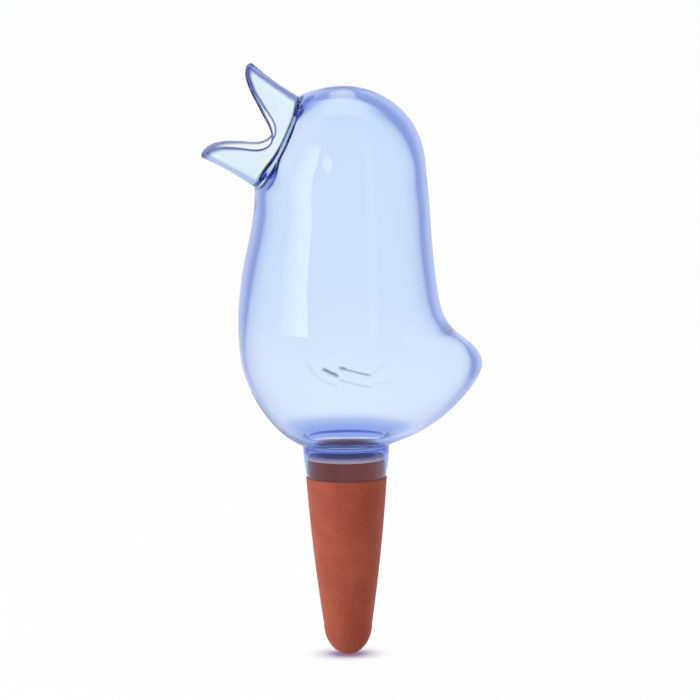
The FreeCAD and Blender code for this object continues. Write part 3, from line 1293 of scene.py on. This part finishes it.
def floor_material():
    """Pale matt floor that the camera sees as white, with a painted contact shadow close under the
    object.
    """
    pale = new_finish("pale floor")
    speck = pale.noise(30.0, 3.0)
    colour = pale.mix(speck, (0.8, 0.8, 0.8, 1), (0.82, 0.82, 0.82, 1))
    matt = pale.node("ShaderNodeBsdfDiffuse", "BSDF", None, {"Color": colour})
    samples, reach = {"samples": contact_samples}, {"Distance": contact_reach}
    near = pale.node("ShaderNodeAmbientOcclusion", "AO", samples, reach)
    place = pale.node("ShaderNodeNewGeometry", "Position")

    def vector(operation, output, **sockets):
        return pale.node("ShaderNodeVectorMath", output, {"operation": operation}, sockets)

    flat = vector("MULTIPLY", "Vector", Vector=place, Vector_001=(1, 1, 0))
    away = vector("LENGTH", "Value", Vector=flat)
    outward = vector("NORMALIZE", "Vector", Vector=flat)
    far = away.step(*card_distance)
    hidden = 1.0 - light_path(pale, "Is Camera Ray")
    card = card_share(pale, outward) * far * hidden
    room = room_share(pale, outward) * far
    close = (1.0 - away.step(*close_distance)) * hidden
    seen = studio_colour(pale, card, room, close)
    # Painted contact shadow: the ambient occlusion darkens the floor's colour under the tip.
    white = pale.mix(near.step(*contact_shade), painted_shadow_colour, seen)
    glow = pale.node("ShaderNodeEmission", "Emission", None, {"Color": white})
    share = (1.0 - light_path(pale, "Is Diffuse Ray")) * floor_white
    shaders = {"Fac": share, "Shader": matt, "Shader_001": glow}
    mixed = pale.node("ShaderNodeMixShader", "Shader", None, shaders)
    return pale.finish("ShaderNodeOutputMaterial", Surface=mixed)


floor.data.materials.append(floor_material())
print("floor at", round(cad_low.z, 4))

# %% World
card_above = (0.08, 0.42)
room_light = 0.44

world = bpy.data.worlds.new("studio")
bpy.context.scene.world = world
studio = Finish(world)
toward = studio.node("ShaderNodeTexCoord", "Generated")
above = studio.part(toward, "Z").step(*card_above)
card = card_share(studio, toward)
card = (card + above - card * above) * (1.0 - light_path(studio, "Is Camera Ray"))
seen = studio_colour(studio, card, room_share(studio, toward))
seen = studio.mix(light_path(studio, "Is Diffuse Ray"), seen, (*[room_light] * 3, 1))
background = studio.node("ShaderNodeBackground", "Background", None, {"Color": seen})
studio.finish("ShaderNodeOutputWorld", Surface=background)
print("world", world.name)

# %% [markdown]
# ## Lamps
#
# One even lamp would leave a hard-edged patch on the plastic. Real softboxes are brighter in the
# middle, so what the skin mirrors here is a stack of rectangles of falling size, and the patch
# fades at its edges. The matt clay is lit by one rectangle of its own.

# %% Lamps
lamp_distance = 1.0
lamp_layers = 7
lamp_shrink = 0.75
layer_gap = 0.001


def softbox(name, azimuth, elevation, size, matt, mirrored, lean=0, side=0):
    """Soft lamp aimed at the middle of the object. Azimuth 0 is behind the camera and -90 on its
    left. What is mirrored is brightest in the middle, or at the side given."""
    target = (cad_low + cad_high) / 2
    turn, rise = math.radians(azimuth), math.radians(elevation)
    level = math.cos(rise)
    away = Vector((math.sin(turn) * level, -math.cos(turn) * level, math.sin(rise)))
    facing = away.to_track_quat("Z", "Y").to_matrix().to_4x4()
    facing = facing @ Matrix.Rotation(math.radians(lean), 4, "Z")
    for layer in range(lamp_layers + 1):
        share = 1 - lamp_shrink * max(layer - 1, 0) / lamp_layers
        light = bpy.data.lights.new(name, "AREA")
        light.shape = "RECTANGLE"
        light.size = size[0] * share
        light.size_y = size[1] * (0.5 + 0.5 * share)
        radiance = mirrored / lamp_layers if layer else matt
        light.energy = radiance * math.pi * light.size * light.size_y
        lamp = new_object(name, light)
        shift = Matrix.Translation((side * size[0] * (1 - share) / 2, 0, -layer_gap * layer))
        lamp.matrix_world = Matrix.Translation(target + away * lamp_distance) @ facing @ shift
        lamp.visible_camera = False
        lamp.visible_transmission = False
        lamp.visible_diffuse = layer == 0
        lamp.visible_glossy = layer > 0
    print(name, "of", lamp_layers, "layers")


softbox("key", -57, 8, (0.56, 1.1), 2.0, 7.0, lean=14, side=1)
softbox("window", -80, 20, (0.9, 1.2), 1.1, 0.0)
softbox("fill", 38, 12, (0.31, 0.82), 0.5, 1.9)
softbox("top", 180, 78, (1.7, 0.85), 1.2, 3.4)

# %% [markdown]
# ## Camera
#
# The photograph looks level at the bird's side from a little above, from far away. The scale and
# the place of the origin in the picture fix the camera.

# %% Camera
picture_size = 700
origin_across, origin_down = 346.5, 476.0
metres_per_pixel = 0.00033441
camera_elevation = math.radians(8.5)
camera_roll = math.radians(0.62)
camera_distance = 2.5
sensor_width = 36.0

ahead = Vector((0, math.cos(camera_elevation), -math.sin(camera_elevation)))
level_right = Vector((1, 0, 0))
level_up = level_right.cross(ahead)
right = level_right * math.cos(camera_roll) - level_up * math.sin(camera_roll)
up = level_right * math.sin(camera_roll) + level_up * math.cos(camera_roll)
centre = metres_per_pixel * (
    (picture_size / 2 - origin_across) * right + (origin_down - picture_size / 2) * up
)
camera_data = bpy.data.cameras.new("camera")
camera_data.sensor_width = sensor_width
camera_data.lens = sensor_width * camera_distance / (metres_per_pixel * picture_size)
camera_data.clip_end = 20.0
camera = new_object("camera", camera_data)
place = centre - camera_distance * ahead
camera.matrix_world = Matrix(
    [(right[i], up[i], -ahead[i], place[i]) for i in range(3)] + [(0, 0, 0, 1)]
)
bpy.context.scene.camera = camera
print("lens", round(camera_data.lens, 1), "mm")

# %% Picture settings
scene = bpy.context.scene
scene.view_settings.view_transform = "Standard"
scene.cycles.max_bounces = 28
scene.cycles.transmission_bounces = 24
scene.cycles.glossy_bounces = 16
print("most bounces of light", scene.cycles.max_bounces)
